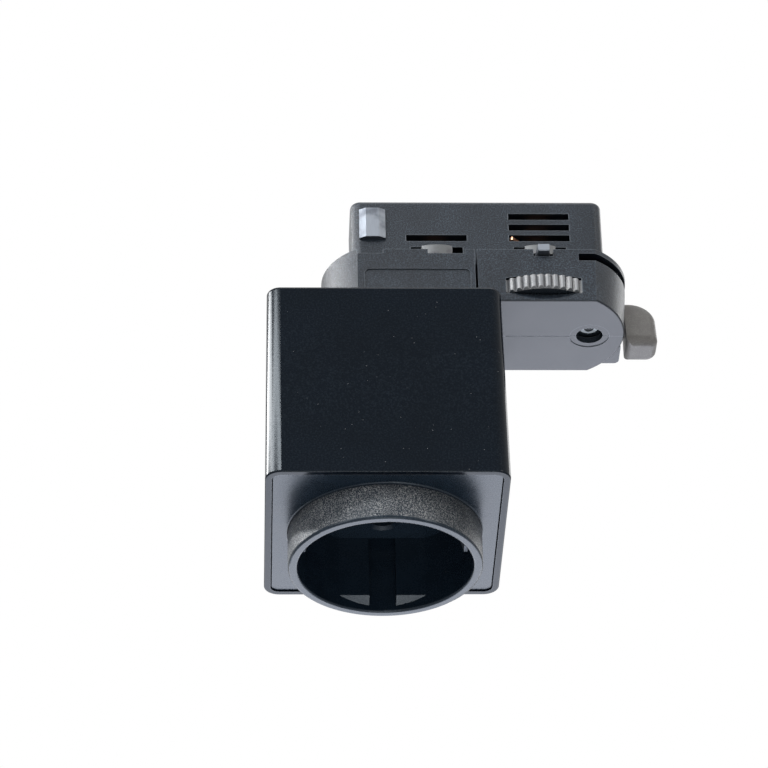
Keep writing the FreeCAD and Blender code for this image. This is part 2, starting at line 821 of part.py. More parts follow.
def nut(name, z):
    prism = doc.addObject("Part::Prism", name + "_hexagon")
    prism.Polygon = 6
    bind(prism, "Circumradius", D["nut_flats"] / math.sqrt(3))
    bind(prism, "Height", z[1] - z[0])
    place(prism, ZERO, ZERO, z[0])
    bore = cylinder(name + "_bore", D["nipple_radius"] + D["thread_gap"], z)
    return cut(name, prism, [bore])


def nipple_set():
    """Hollow threaded nipple, its two nuts, and the spacer that shows in the neck."""
    tube = cylinder("nipple_rod", D["nipple_radius"], (nipple_low, nipple_top))
    bore = cylinder("nipple_bore_tool", D["nipple_bore"], (nipple_low, nipple_top))
    keep(cut("nipple_cut", tube, [bore]), "nipple")
    nuts = [nut("nut_low", (cube_ceiling - D["nut_height"], cube_ceiling)),
            nut("nut_high", (adapter_floor, adapter_floor + D["nut_height"]))]
    keep(group("nut_pair", nuts), "nipple_nuts")
    ring = cylinder("spacer_ring", D["neck_outer"], (cube_top, adapter_low))
    hole = cylinder("spacer_hole", D["nipple_radius"] + D["nipple_gap"], (cube_top, adapter_low))
    keep(cut("spacer_cut", ring, [hole]), "neck_spacer")


def wire_path(points):
    """Straight runs joined by tangent arcs."""
    edges = []
    start = points[0]
    for before, corner, after in zip(points, points[1:], points[2:]):
        arriving = corner - before
        leaving = after - corner
        turn_half = arriving.getAngle(leaving) / 2
        back = 0.45 * min(arriving.Length, leaving.Length)
        arriving.normalize()
        leaving.normalize()
        first = corner - arriving * back
        last = corner + leaving * back
        radius = back / math.tan(turn_half)
        middle_way = leaving - arriving
        middle_way.normalize()
        centre = corner + middle_way * (radius / math.cos(turn_half))
        middle = centre - middle_way * radius
        edges.append(Part.LineSegment(start, first).toShape())
        edges.append(Part.Arc(first, middle, last).toShape())
        start = last
    edges.append(Part.LineSegment(start, points[-1]).toShape())
    return Part.Wire(edges)


def wire(label, angle, goal_x, goal_y, goal_z):
    """An insulated wire from the track head down through the nipple to its terminal."""
    circle = D["wire_circle"].number
    x = circle * math.cos(math.radians(angle))
    y = circle * math.sin(math.radians(angle))
    leave = nipple_low.number - D["wire_radius"].number
    over = goal_z + D["wire_grip"].number + D["wire_radius"].number * 2
    points = [FreeCAD.Vector(x, y, 0), FreeCAD.Vector(x, y, leave),
              FreeCAD.Vector(goal_x, goal_y, over), FreeCAD.Vector(goal_x, goal_y, goal_z)]
    path = wire_path(points)
    radius = D["wire_radius"].number
    section = Part.Wire([Part.Circle(points[0], FreeCAD.Vector(0, 0, -1), radius).toShape()])
    solid = path.makePipeShell([section], True, True)
    expected = math.pi * radius ** 2 * path.Length
    if abs(solid.Volume / expected - 1) > 0.01:
        raise RuntimeError(f"{label} has the wrong volume")
    item = doc.addObject("Part::Feature", label + "_tube")
    item.Shape = solid
    item.Placement = FreeCAD.Placement()
    keep(item, label)


def wires():
    grip_level = (block_top - D["wire_grip"]).number
    pin = pin_y.number
    wire("live_wire", 240, 0, -pin, grip_level)
    wire("neutral_wire", 120, 0, pin, grip_level)
    beside = (D["earth_screw_offset"] - D["small_head"] - D["wire_radius"]).number
    wire("earth_wire", 0, beside, 0, strip_level.number)


def terminal_outline(inset, right):
    """Outline of the adapter's wiring end, set in from its outer wall."""
    half = D["adapter_half"] - inset
    radius = D["adapter_half"] + D["tail_bulge"] - inset
    centre = D["adapter_half"] + D["tail_bulge"] - D["tail_reach"]
    corner = centre - chord_half(radius, half)
    return [(corner, -half), (right, -half), (right, half), (corner, half, radius)]


def terminal_housing():
    """The wiring end of the adapter: an open tub over the nipple."""
    body = new_body("terminal_body")
    outline = new_sketch(body, "terminal_outline", "XY_Plane", adapter_low)
    draw(outline, terminal_outline(ZERO, D["seam_left"]))
    feature(body, "Pad", "terminal_pad", outline, D["adapter_height"])
    round_edges(body, "terminal_edge", D["shell_edge"],
                lambda e: level(e, adapter_low) and min(v.X for v in e.Vertexes) < D["seam_left"].number - 1)
    inside = new_sketch(body, "terminal_inside", "XY_Plane", ZERO)
    draw(inside, terminal_outline(D["shell_wall"], D["seam_left"] - D["shell_wall"]))
    feature(body, "Pocket", "terminal_cavity", inside, -adapter_floor)
    entry = new_sketch(body, "terminal_entry", "XY_Plane", adapter_floor)
    draw_circle(entry, D["nipple_radius"] + D["nipple_gap"])
    feature(body, "Pocket", "terminal_entry_hole", entry, D["shell_floor"])
    panel = new_sketch(body, "terminal_panel", "XZ_Plane", D["adapter_half"])
    draw(panel, rounded_box((D["panel_start"], D["panel_end"]),
                            (-D["panel_bottom"], -D["panel_top"]), D["panel_corner"]))
    feature(body, "Pocket", "terminal_panel_cut", panel, D["panel_depth"])
    notches = new_sketch(body, "terminal_notches", "XZ_Plane", D["adapter_half"])
    corner = D["adapter_half"] + D["tail_bulge"] - D["tail_reach"] - chord_half(
        D["adapter_half"] + D["tail_bulge"], D["adapter_half"])
    for start, end in ((corner, D["notch_one_end"]), (D["notch_two_start"], D["notch_two_end"])):
        draw(notches, [(start, -D["notch_depth"]), (end, -D["notch_depth"]), (end, ZERO), (start, ZERO)])
    feature(body, "Pocket", "terminal_notch_cut", notches, D["shell_wall"])
    tools = [wheel_room("terminal_wheel_room"), link_slot("terminal_link_slot")]
    return keep(cut("terminal_cut", body, tools), "terminal_housing")


def wheel_room(name):
    return cylinder(name, wheel_radius + D["wheel_gap"], wheel_space, D["axis_x"])


def link_slot(name):
    """Passage for the coupling link through the end walls of both housings."""
    swing = D["crank_radius"] * -sine(D["crank_angle"])
    half = swing + D["link_half"] + D["link_clear"]
    return box(name, (D["seam_left"] - D["shell_wall"] * 2, seam_right + D["shell_wall"] * 2),
               (-half, half), (link_low() - D["link_clear"], plate_lever[0]))


def terminal_cover():
    """The lid of the wiring end, with the rotor's bearing and the wire hole."""
    body = new_body("lid_body")
    outline = new_sketch(body, "lid_outline", "XY_Plane", roof_low)
    inset = D["shell_wall"] + D["lid_gap"]
    draw(outline, terminal_outline(inset, D["seam_left"] - inset))
    feature(body, "Pad", "lid_pad", outline, D["shell_roof"])
    holes = new_sketch(body, "lid_holes", "XY_Plane", ZERO)
    draw_circle(holes, D["rotor_shaft"] + D["bearing_gap"], D["rotor_x"])
    draw_circle(holes, D["wire_circle"] + D["wire_radius"] + D["lid_gap"])
    draw_circle(holes, D["head_screw_thread"] + D["thread_gap"], D["head_screw_left"])
    feature(body, "Pocket", "lid_hole_cut", holes, D["shell_roof"])
    return keep(body, "terminal_cover")


def nose_outline(inset, left):
    """Outline of the adapter's lever end, set in from its outer wall."""
    half = D["adapter_half"] - inset
    radius = nose_radius - inset
    corner = nose_centre + chord_half(radius, half)
    return [(left, -half), (corner, -half, radius), (corner, half), (left, half)]


def nose_ring(name, radius, x, z):
    item = doc.addObject("Part::Circle", name)
    bind(item, "Radius", radius)
    turn(item, 180)
    place(item, x, ZERO, z)
    return item


def nose_block():
    """The outer form of the lever end: flat sides and a round nose that leans out upwards."""
    top_radius = D["adapter_half"] + D["nose_top_bulge"]
    top_centre = nose_reach + D["nose_lean"] - top_radius
    loft = doc.addObject("Part::Loft", "nose_loft")
    loft.Sections = [nose_ring("nose_low", nose_radius, nose_centre, adapter_low),
                     nose_ring("nose_high", top_radius, top_centre, ZERO)]
    loft.Solid = True
    loft.Ruled = True
    half = D["adapter_half"]
    span = (adapter_low, ZERO)
    sides = box("nose_sides", (nose_centre, nose_reach + D["nose_throw"]), (-half, half), span)
    straight = box("nose_straight", (seam_right, nose_centre), (-half, half), span)
    block = fuse("nose_fuse", [straight, common("nose_round", [loft, sides])])
    block.Refine = True
    return block


def window(name, y):
    """The opening that the wheel stands out of, with an arched upper edge."""
    body = new_body(name)
    sketch = new_sketch(body, name + "_outline", "XZ_Plane", -y[0])
    left = D["axis_x"] - D["window_left"]
    right = D["axis_x"] + D["window_right"]
    low, high = wheel_space
    rise = D["window_rise"]
    half = (right - left) / 2
    draw(sketch, [(left, low), (right, low), (right, high, (half * half + rise * rise) / (rise * 2)),
                  (left, high)])
    feature(body, "Pad", name + "_pad", sketch, y[1] - y[0], reverse=True)
    return body


def lever_shells():
    """The lever end of the adapter in two halves that meet along its length."""
    block = nose_block()
    doc.recompute()
    body = new_body("nose_body")
    body.BaseFeature = block
    doc.recompute()
    round_edges(body, "nose_edge", D["shell_edge"],
                lambda e: level(e, adapter_low) and max(v.X for v in e.Vertexes) > seam_right.number + 1)
    inside = new_sketch(body, "nose_inside", "XY_Plane", adapter_floor)
    draw(inside, nose_outline(D["shell_wall"], seam_right + D["shell_wall"]))
    feature(body, "Pocket", "nose_cavity", inside, roof_low - adapter_floor, reverse=True)
    ring = new_sketch(body, "nose_ring", "XY_Plane", adapter_low)
    draw_circle(ring, D["number_ring"], D["axis_x"] + D["number_radius"])
    feature(body, "Pocket", "nose_ring_cut", ring, D["number_ring_depth"], reverse=True)
    hole = new_sketch(body, "nose_hole", "XY_Plane", adapter_low)
    draw_circle(hole, D["number_hole"], D["axis_x"] + D["number_radius"])
    feature(body, "Pocket", "nose_hole_cut", hole, D["shell_floor"], reverse=True)
    far = nose_reach + D["nose_throw"]
    reach = D["adapter_half"] * 2
    tab_span = (D["axis_x"] - D["tab_left"], D["axis_x"] - D["tab_left"] + D["tab_width"])
    seam_half = D["seam_line_width"] / 2
    tools = [wheel_room("nose_wheel_room"), link_slot("nose_link_slot"),
             window("nose_window", (-reach, reach)),
             box("nose_seam_line", (D["axis_x"] - D["seam_line_left"], D["axis_x"] + D["seam_line_right"]),
                 (-seam_half, seam_half), (adapter_low, adapter_low + D["seam_line_depth"])),
             box("nose_slot", (D["axis_x"] + D["slot_offset"], far), (-reach, reach),
                 (-D["slot_bottom"], roof_low)),
             cylinder("nose_bearing", D["sleeve_outer"] + D["bearing_gap"], (roof_low, ZERO), D["axis_x"]),
             cylinder("nose_screw_hole", D["head_screw_thread"] + D["thread_gap"],
                      (roof_low, ZERO), D["head_screw_right"]),
             box("nose_tab_notch", (tab_span[0] - D["tab_side_gap"], tab_span[1] + D["tab_side_gap"]),
                 (-reach, -D["adapter_half"] + D["tab_root"] + D["tab_floor_gap"]),
                 (-D["tab_bottom"] - D["tab_floor_gap"], ZERO))]
    scoop_top = wheel_space[0] + D["wheel_gap"]
    for side in (1, -1):
        tools.append(cone(f"nose_scoop_{side + 1}", D["scoop_radius"] - D["scoop_depth"], D["scoop_radius"],
                          (scoop_top - D["scoop_height"], scoop_top), D["axis_x"],
                          (D["adapter_half"] + D["scoop_radius"] - D["scoop_depth"]) * side))
    shell = cut("nose_cut", body, tools)
    span_x = (seam_right, far)
    front_half = box("front_half", span_x, (-reach, ZERO), (adapter_low, ZERO))
    rear_half = box("rear_half", span_x, (ZERO, reach), (adapter_low, ZERO))
    keep(common("front_common", [shell, front_half]), "shell_front")
    lug = common("lug_half", [stop_lug(), rear_half])
    rear = common("rear_common", [shell, rear_half])
    keep(cut("rear_cut", fuse("rear_with_lug", [rear, lug]), [wheel_room("rear_wheel_room")]), "shell_rear")


def stop_lug():
    """The lug on the rear half that the lever grip closes against."""
    body = new_body("lug_body")
    outline = new_sketch(body, "lug_outline", "XY_Plane", -D["lug_bottom"])
    left = nose_reach - nose_radius / 2
    right = grip_inner - D["lug_gap"]
    draw(outline, [(left, D["lug_start"]), (right, D["lug_start"]),
                   (right, D["lug_end"]), (left, D["lug_end"])])
    feature(body, "Pad", "lug_pad", outline, D["lug_bottom"] - D["lug_top"])
    round_edges(body, "lug_round", D["lug_corner"], lambda e: upright(e, x=right))
    return body


def on_slant(edge):
    """The straight edge between the grip's slanted front and its outer face."""
    first, last = edge.Vertexes[0].Point, edge.Vertexes[-1].Point
    if abs(first.x - grip_outer.number) > 1e-4 or abs(last.x - grip_outer.number) > 1e-4:
        return False
    return abs(first.y - last.y) > 1e-3 and abs(first.z - last.z) > D["grip_edge"].number


def grip():
    """The finger grip: a block with a rounded outer top edge and a slanted front."""
    body = new_body("grip_body")
    low, high = adapter_low, -D["grip_top"]
    section = new_sketch(body, "grip_section", "XZ_Plane", -D["grip_rear"])
    round_top = D["grip_round"]
    draw(section, [(grip_inner, low), (grip_outer, low), (grip_outer, high - round_top, round_top),
                   (grip_outer - round_top, high), (grip_inner, high)])
    feature(body, "Pad", "grip_pad", section, D["grip_rear"] - D["grip_front"])
    slant = new_sketch(body, "grip_slant_outline", "YZ_Plane", grip_inner - D["grip_edge"])
    front = D["grip_front"]
    draw(slant, [(front - D["grip_edge"], low), (front, low), (front + D["grip_slant"], high),
                 (front - D["grip_edge"], high)])
    feature(body, "Pocket", "grip_slant_cut", slant, D["grip_depth"] + D["grip_edge"] * 2, reverse=True)
    round_edges(body, "grip_corner_round", D["grip_corner"],
                lambda e: upright(e, x=grip_outer, y=D["grip_rear"]))
    round_edges(body, "grip_side_round", D["grip_side"], on_slant)
    round_edges(body, "grip_edge_round", D["grip_edge"], lambda e: level(e, low))
    return body


def crank_spot(x):
    return x + D["crank_radius"] * cosine(D["crank_angle"]), D["crank_radius"] * sine(D["crank_angle"])


def link_low():
    return plate_lever[0] - D["link_clear"] - D["link_thick"]


def crank(name, x):
    """A crank arm with its pin, level with the lever plate."""
    pin_x, pin_y_here = crank_spot(x)
    arm = bar(name + "_arm", D["crank_radius"], D["crank_half"], plate_lever, x, D["crank_angle"])
    eye = cylinder(name + "_eye", D["crank_half"], plate_lever, pin_x, pin_y_here)
    pin = cylinder(name + "_pin", D["crank_pin"], (plate_lever[0] - D["pin_length"], plate_lever[0]),
                   pin_x, pin_y_here)
    return [arm, eye, pin]


def lock_lever():
    """Grip, arm, hub and bearing sleeve of the lever, in one moulding."""
    x = D["axis_x"]
    sector = doc.addObject("Part::Cylinder", "lever_sector")
    bind(sector, "Radius", grip_outer - x - D["fan_inset"])
    bind(sector, "Height", D["plate_height"])
    turn(sector, D["fan_start_angle"])
    sector.setExpression("Angle", "sizes.fan_sweep_angle")
    place(sector, x, ZERO, plate_lever[0])
    core = cylinder("lever_sector_core", fan_inner, plate_lever, x)
    arm_reach = fan_inner + D["fan_overlap"]
    pieces = [cut("lever_fan", sector, [core]),
              bar("lever_arm", arm_reach, D["arm_half"], plate_lever, x, D["arm_angle"]),
              cylinder("lever_hub", D["hub_radius"], plate_lever, x),
              cylinder("lever_sleeve", D["sleeve_outer"], (plate_lever[0], D["dog_bottom"]), x),
              cylinder("lever_seat", D["dog_seat"], (plate_lever[0], dog_high), x), grip()]
    solid = fuse("lever_solid", pieces + crank("lever_crank", x))
    bore = cylinder("lever_bore", drum_room, (plate_lever[0], dog_high), x)
    return keep(cut("lever_cut", solid, [bore]), "lock_lever")


def dog(name, x, seat_radius, label):
    """A steel dog on its seat, which turns out over the track's lip."""
    span = (D["dog_bottom"], dog_high)
    hub = cylinder(name + "_hub", D["dog_hub"], span, x)
    wings = box(name + "_wings", (x - D["dog_half"], x + D["dog_half"]),
                (-D["dog_reach"], D["dog_reach"]), span)
    ends = cylinder(name + "_ends", D["dog_reach"], span, x)
    seat = cylinder(name + "_seat", seat_radius, span, x)
    blank = fuse(name + "_blank", [hub, common(name + "_bar", [wings, ends])])
    return keep(cut(name + "_cut", blank, [seat]), label)


def selector_wheel():
    """Ribbed thumb wheel on the drum that carries the phase contacts."""
    body = new_body("wheel_body")
    x = D["axis_x"]
    section = new_sketch(body, "wheel_section", "XZ_Plane", ZERO)
    low, high = -D["wheel_bottom"], -D["wheel_top"]
    web = low + D["wheel_web"]
    rim_in = wheel_radius - D["wheel_rim"]
    bevel = D["wheel_bevel"]
    draw(section, [(ZERO, low), (wheel_radius - bevel, low), (wheel_radius, low + bevel),
                   (wheel_radius, high), (rim_in, high),
                   (rim_in, web), (D["drum_radius"], web), (D["drum_radius"], D["drum_height"]),
                   (ZERO, D["drum_height"])])
    spin(body, "Revolution", "wheel_turned", section)
    groove = new_sketch(body, "wheel_groove", "XY_Plane", low)
    root = wheel_radius - D["rib_depth"]
    past = wheel_radius + D["rib_depth"]
    half = D["groove_width"]
    draw(groove, [(root, ZERO), (past, -half), (past, half)])
    first = feature(body, "Pocket", "wheel_groove_cut", groove, high - low, reverse=True)
    ribs = body.newObject("PartDesign::PolarPattern", "wheel_ribs")
    ribs.Originals = [first]
    ribs.Axis = (section, ["V_Axis"])
    ribs.Angle = 360
    bind(ribs, "Occurrences", D["wheel_ribs"])
    body.Tip = ribs
    bind(body, "Placement.Base.x", x)
    return keep(body, "selector_wheel")


def blade(name, x, angle, low):
    """A contact ring round a shaft, with one tongue that reaches a conductor."""
    span = (low, low + D["blade_thick"])
    ring = cylinder(name + "_ring", D["blade_ring"], span, x)
    tongue = bar(name + "_tongue", D["blade_reach"], D["blade_half"], span, x, angle)
    bore = cylinder(name + "_bore", D["drum_radius"], span, x)
    return cut(name, fuse(name + "_blank", [ring, tongue]), [bore])


def blade_level(index):
    return D["blade_first"] + D["blade_step"] * index


def phase_contacts():
    blades = [blade(f"phase_{index}", D["axis_x"], angle, blade_level(index))
              for index, angle in enumerate(BLADE_ANGLES)]
    return keep(group("phase_set", blades), "phase_contacts")


def link_rotor():
    """The second rotor: crank below, shaft through the lid, seat for its dog and blade."""
    x = D["rotor_x"]
    top = blade_level(0) + D["blade_thick"]
    pieces = [cylinder("rotor_hub", D["rotor_shaft"] + D["shell_wall"], plate_lever, x),
              cylinder("rotor_body", D["rotor_shaft"], (plate_lever[0], D["dog_bottom"]), x),
              cylinder("rotor_top", D["drum_radius"], (plate_lever[0], top), x)]
    return keep(fuse("rotor_fuse", pieces + crank("rotor_crank", x)), "link_rotor")


def coupling_link():
    """Flat link between the two crank pins."""
    span = (link_low(), link_low() + D["link_thick"])
    left_x, spot_y = crank_spot(D["rotor_x"])
    right_x = crank_spot(D["axis_x"])[0]
    half = D["link_half"]
    pieces = [box("link_bar", (left_x, right_x), (spot_y - half, spot_y + half), span),
              cylinder("link_eye_left", half, span, left_x, spot_y),
              cylinder("link_eye_right", half, span, right_x, spot_y)]
    hole = D["crank_pin"] + D["pivot_gap"]
    tools = [cylinder("link_hole_left", hole, span, left_x, spot_y),
             cylinder("link_hole_right", hole, span, right_x, spot_y)]
    return keep(cut("link_cut", fuse("link_solid", pieces), tools), "coupling_link")


def contact_head():
    """The bar that enters the track, slotted for the dogs, blades and drum."""
    body = new_body("head_body")
    outline = new_sketch(body, "head_outline", "XY_Plane", ZERO)
    draw(outline, rounded_box((D["head_start"], D["axis_x"] + D["head_beyond"]),
                              (-D["head_half"], D["head_half"]), D["head_corner"]))
    feature(body, "Pad", "head_pad", outline, D["head_height"])
    round_edges(body, "head_edge_round", D["head_edge"], lambda e: level(e, D["head_height"]))
    clear = D["dog_clear"]
    dog_span = (D["dog_bottom"] - clear, dog_high + clear)
    tools = []
    for name, x, shaft, count in (("right", D["axis_x"], D["sleeve_outer"], len(BLADE_ANGLES)),
                                  ("left", D["rotor_x"], D["rotor_shaft"], 1)):
        tools.append(cylinder(f"head_shaft_{name}", shaft + D["bearing_gap"], (ZERO, dog_span[0]), x))
        tools.append(cylinder(f"head_dog_{name}", D["dog_reach"] + clear, dog_span, x))
        top = D["drum_height"] + clear if name == "right" else blade_level(0)
        tools.append(cylinder(f"head_drum_{name}", drum_room, (dog_span[1], top), x))
        for index in range(count):
            low = blade_level(index)
            span = (low - D["blade_clear"], low + D["blade_thick"] + D["blade_clear"])
            reach = D["blade_reach"] + D["blade_clear"]
            tools.append(cylinder(f"head_blade_{name}_{index}", reach, span, x))
    for name, x in (("left", D["head_screw_left"]), ("right", D["head_screw_right"])):
        tools.append(cylinder(f"head_screw_hole_{name}", D["head_screw_thread"] + D["thread_gap"],
                              (ZERO, D["head_screw_length"]), x))
    return keep(cut("head_cut", body, tools), "contact_head")


def earth_contacts():
    """Two leaf springs on the sides of the head."""
    springs = []
    start, end = D["earth_start"], D["earth_end"]
    for side, name in ((1, "rear"), (-1, "front")):
        body = new_body(f"earth_leaf_{name}")
        section = new_sketch(body, f"earth_section_{name}", "XY_Plane", D["earth_low"])
        wall = D["head_half"] * side
        skin = (D["head_half"] + D["earth_thick"]) * side
        crest = (D["head_half"] + D["earth_bulge"] + D["earth_thick"]) * side
        middle = (start + end) / 2
        quarter = (end - start) / 4
        points = [(start, wall), (end, wall), (end, skin), (middle + quarter, crest),
                  (middle - quarter, crest), (start, skin)]
        draw(section, points if side > 0 else points[::-1])
        feature(body, "Pad", f"earth_pad_{name}", section, D["earth_high"] - D["earth_low"])
        springs.append(body)
    return keep(group("earth_pair", springs), "earth_contacts")


def head_screws():
    """The two screws that hold the head on the housings, driven from inside."""
    items = []
    for name, x in (("left", D["head_screw_left"]), ("right", D["head_screw_right"])):
        head_low = plate_lever[0]
        shank = cylinder(f"head_screw_shank_{name}", D["head_screw_thread"],
                         (head_low, D["head_screw_length"]), x)
        cap = cylinder(f"head_screw_cap_{name}", D["head_screw_head"], (head_low, roof_low), x)
        items.append(fuse(f"head_screw_{name}", [shank, cap]))
    return keep(group("head_screw_pair", items), "head_screws")


def key_tab():
    """The metal tab that shows in the notch of the front shell."""
    body = new_body("tab_body")
    outline = new_sketch(body, "tab_outline", "XY_Plane", -D["tab_bottom"])
    taper = D["tab_edge"]
    left = D["axis_x"] - D["tab_left"]
    right = left + D["tab_width"]
    front = -(D["adapter_half"] + D["tab_proud"])
    rear = -(D["adapter_half"] - D["tab_root"])
    draw(outline, [(left + taper, front), (right - taper, front), (right, rear), (left, rear)])
    feature(body, "Pad", "tab_pad", outline, D["tab_bottom"] + D["tab_rise"])
    round_edges(body, "tab_round", D["tab_edge"],
                lambda e: level(e, -D["tab_bottom"]) and min(v.Y for v in e.Vertexes) < front.number + 1e-3)
    return keep(body, "key_tab")


def build():
    socket_housing()
    socket_face()
    contact_cover()
    contact_base()
    pin_contact(-1, "live_contact")
    pin_contact(1, "neutral_contact")
    earth_clip()
    terminal_screws()
    face_screw()
    base_screws()
    nipple_set()
    wires()
    terminal_housing()
    terminal_cover()
    lever_shells()
    lock_lever()
    dog("right_dog", D["axis_x"], D["dog_seat"], "right_lock_dog")
    selector_wheel()
    phase_contacts()
    link_rotor()
    dog("left_dog", D["rotor_x"], D["drum_radius"], "left_lock_dog")
    keep(blade("neutral_blade_piece", D["rotor_x"], 90.0, blade_level(0)), "neutral_blade")
    coupling_link()
    contact_head()
    earth_contacts()
    head_screws()
    key_tab()


def check_and_export():
    doc.recompute()
    faults = [item.Name for item in doc.Objects if "Invalid" in item.State or "Error" in item.State]
    if faults:
        raise RuntimeError(f"failed objects: {faults}")
    triangles = 0
    for item in parts:
        shape = item.Shape
        if shape.isNull() or not shape.isValid() or not shape.Solids:
            raise RuntimeError(f"bad shape: {item.Label}")
        count = MeshPart.meshFromShape(Shape=shape, LinearDeflection=0.1, AngularDeflection=0.5).CountFacets
        triangles += count
        bounds = shape.optimalBoundingBox()
        print(f"{item.Label:18s} solids {len(shape.Solids)} volume {shape.Volume:9.1f} triangles {count:5d} "
              f"x {bounds.XMin:.2f} {bounds.XMax:.2f} y {bounds.YMin:.2f} {bounds.YMax:.2f} "
              f"z {bounds.ZMin:.2f} {bounds.ZMax:.2f}")
    print(f"{len(parts)} nodes, {triangles} triangles")
    os.makedirs("parts", exist_ok=True)
    for item in parts:
        item.Shape.exportStep(f"parts/{item.Label}.step")


build()
check_and_export()
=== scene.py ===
import json
import math

import bpy
from mathutils import Matrix, Vector


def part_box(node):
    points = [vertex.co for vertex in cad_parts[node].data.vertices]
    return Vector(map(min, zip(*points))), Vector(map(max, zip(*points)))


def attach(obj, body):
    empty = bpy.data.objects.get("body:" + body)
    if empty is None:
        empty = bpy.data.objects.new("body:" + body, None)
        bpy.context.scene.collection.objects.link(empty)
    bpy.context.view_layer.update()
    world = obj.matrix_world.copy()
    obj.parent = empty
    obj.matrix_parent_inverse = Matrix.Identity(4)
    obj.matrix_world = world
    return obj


# The looks of a black track socket: moulded plastics, metal contacts, wheel numbers, studio.

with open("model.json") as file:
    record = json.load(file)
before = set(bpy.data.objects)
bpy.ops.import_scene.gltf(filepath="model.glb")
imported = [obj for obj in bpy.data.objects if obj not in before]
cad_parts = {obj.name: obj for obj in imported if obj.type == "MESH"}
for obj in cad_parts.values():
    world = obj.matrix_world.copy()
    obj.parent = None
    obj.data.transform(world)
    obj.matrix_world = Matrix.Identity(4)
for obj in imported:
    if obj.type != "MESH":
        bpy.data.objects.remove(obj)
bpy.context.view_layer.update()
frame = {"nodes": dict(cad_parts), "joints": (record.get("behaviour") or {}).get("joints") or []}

MM = 0.001

# The camera, fitted to the photo's edges.
CAMERA_PLACE = Vector((-30.83, -710.5, -491.06)) * MM
CAMERA_RIGHT = Vector((0.999315, -0.031457, -0.019513))
CAMERA_UP = Vector((-0.000859, -0.546698, 0.837330))
CAMERA_AHEAD = Vector((0.037008, 0.836739, 0.546350))
CAMERA_CLIP_START = 0.01
FOCAL_PIXELS = 3766.74
PHOTO_PIXELS = 768
SENSOR_WIDTH = 36.0

# The studio, in metres. Lamps aim at CENTRE.
CENTRE = Vector((0.015, 0.0, -0.035))
WORLD_LIGHT = 0.2
FLOOR_LEVEL = -1.1
FLOOR_HALF = 6.0
FLOOR_GLOW_SHARE = 0.8
PLAIN = (1, 1, 1)
COOL = (0.85, 0.885, 1.0)
WARM = (1.0, 0.95, 0.88)

# Softboxes: name, azimuth from the front and height in degrees, distance, size, radiance, tint.
# A positive azimuth is to the right.
SOFTBOXES = (
    ("bounce", 177.5, -33, 0.8, (0.95, 0.6), 4.5, COOL),
    ("left_front", -38, 33, 1.0, (0.9, 0.07), 32.0, PLAIN),
    ("left_side", -95, 33, 1.0, (0.9, 0.09), 30.0, PLAIN),
    ("left_low", -50, 5, 1.0, (0.4, 0.24), 11.0, PLAIN),
    ("front_right", 46, 14, 1.0, (0.26, 0.44), 9.0, WARM),
    ("right_back", 135, 33, 1.0, (0.3, 0.3), 2.5, PLAIN),
    ("low_front", 0, -48, 0.7, (0.5, 0.3), 2.2, PLAIN),
    ("below", 30, -88, 0.63, (0.14, 0.1), 11.0, PLAIN),
    ("top", 24, 76, 1.0, (0.7, 0.4), 2.5, PLAIN),
)

# Numbers printed under the wheel.
POSITIONS = 4
POSITION_STEP = 45
NUMBER_SIZE = 7.0 * MM
NUMBER_STRETCH = 1.4
NUMBER_CIRCLE = 11.05 * MM
PRINT_DEPTH = 0.04 * MM

# Where the grain on the socket face starts: how far out, and how far from the collar's ends.
COLLAR_RADIUS = 20.6 * MM
COLLAR_SOFT = 0.2 * MM
COLLAR_RIM = (0.5 * MM, 0.8 * MM)
COLLAR_ROOT = 0.3 * MM

# Sockets of a colour mix node.
MIX_FIRST, MIX_SECOND, MIX_RESULT = 6, 7, 2

# Ranges of a texture's value over which a look fades in.
CLOUD_RANGE = (0.3, 0.7)
GRIT_RANGE = (0.42, 0.7)
STAIN_RANGE = (0.45, 0.75)
TONE_RANGE = (0.2, 0.8)
PRINT_RANGE = (0.3, 0.8)

FINISHES = {
    "cube": ["socket_housing", "neck_spacer"],
    "face": ["socket_face", "contact_cover"],
    "adapter": ["terminal_housing", "terminal_cover", "shell_front", "shell_rear", "contact_head"],
    "lever": ["lock_lever"],
    "wheel": ["selector_wheel", "link_rotor"],
    "ceramic": ["contact_base"],
    "brass": ["live_contact", "neutral_contact"],
    "nickel": ["earth_clip", "earth_contacts", "key_tab"],
    "steel": ["terminal_screws", "face_screw", "base_screws", "nipple", "nipple_nuts",
              "right_lock_dog", "left_lock_dog", "coupling_link", "head_screws"],
    "copper": ["phase_contacts", "neutral_blade"],
    "brown": ["live_wire"],
    "blue": ["neutral_wire"],
    "green": ["earth_wire"],
}


def linear(value):
    """The linear value of one display value from 0 to 255."""
    share = value / 255
    if share <= 0.04045:
        return share / 12.92
    return ((share + 0.055) / 1.055) ** 2.4


def colour(red, green, blue):
    """A shader colour from display values."""
    return linear(red), linear(green), linear(blue), 1.0


def add_object(name, data):
    """A new object in the scene."""
    thing = bpy.data.objects.new(name, data)
    bpy.context.scene.collection.objects.link(thing)
    return thing


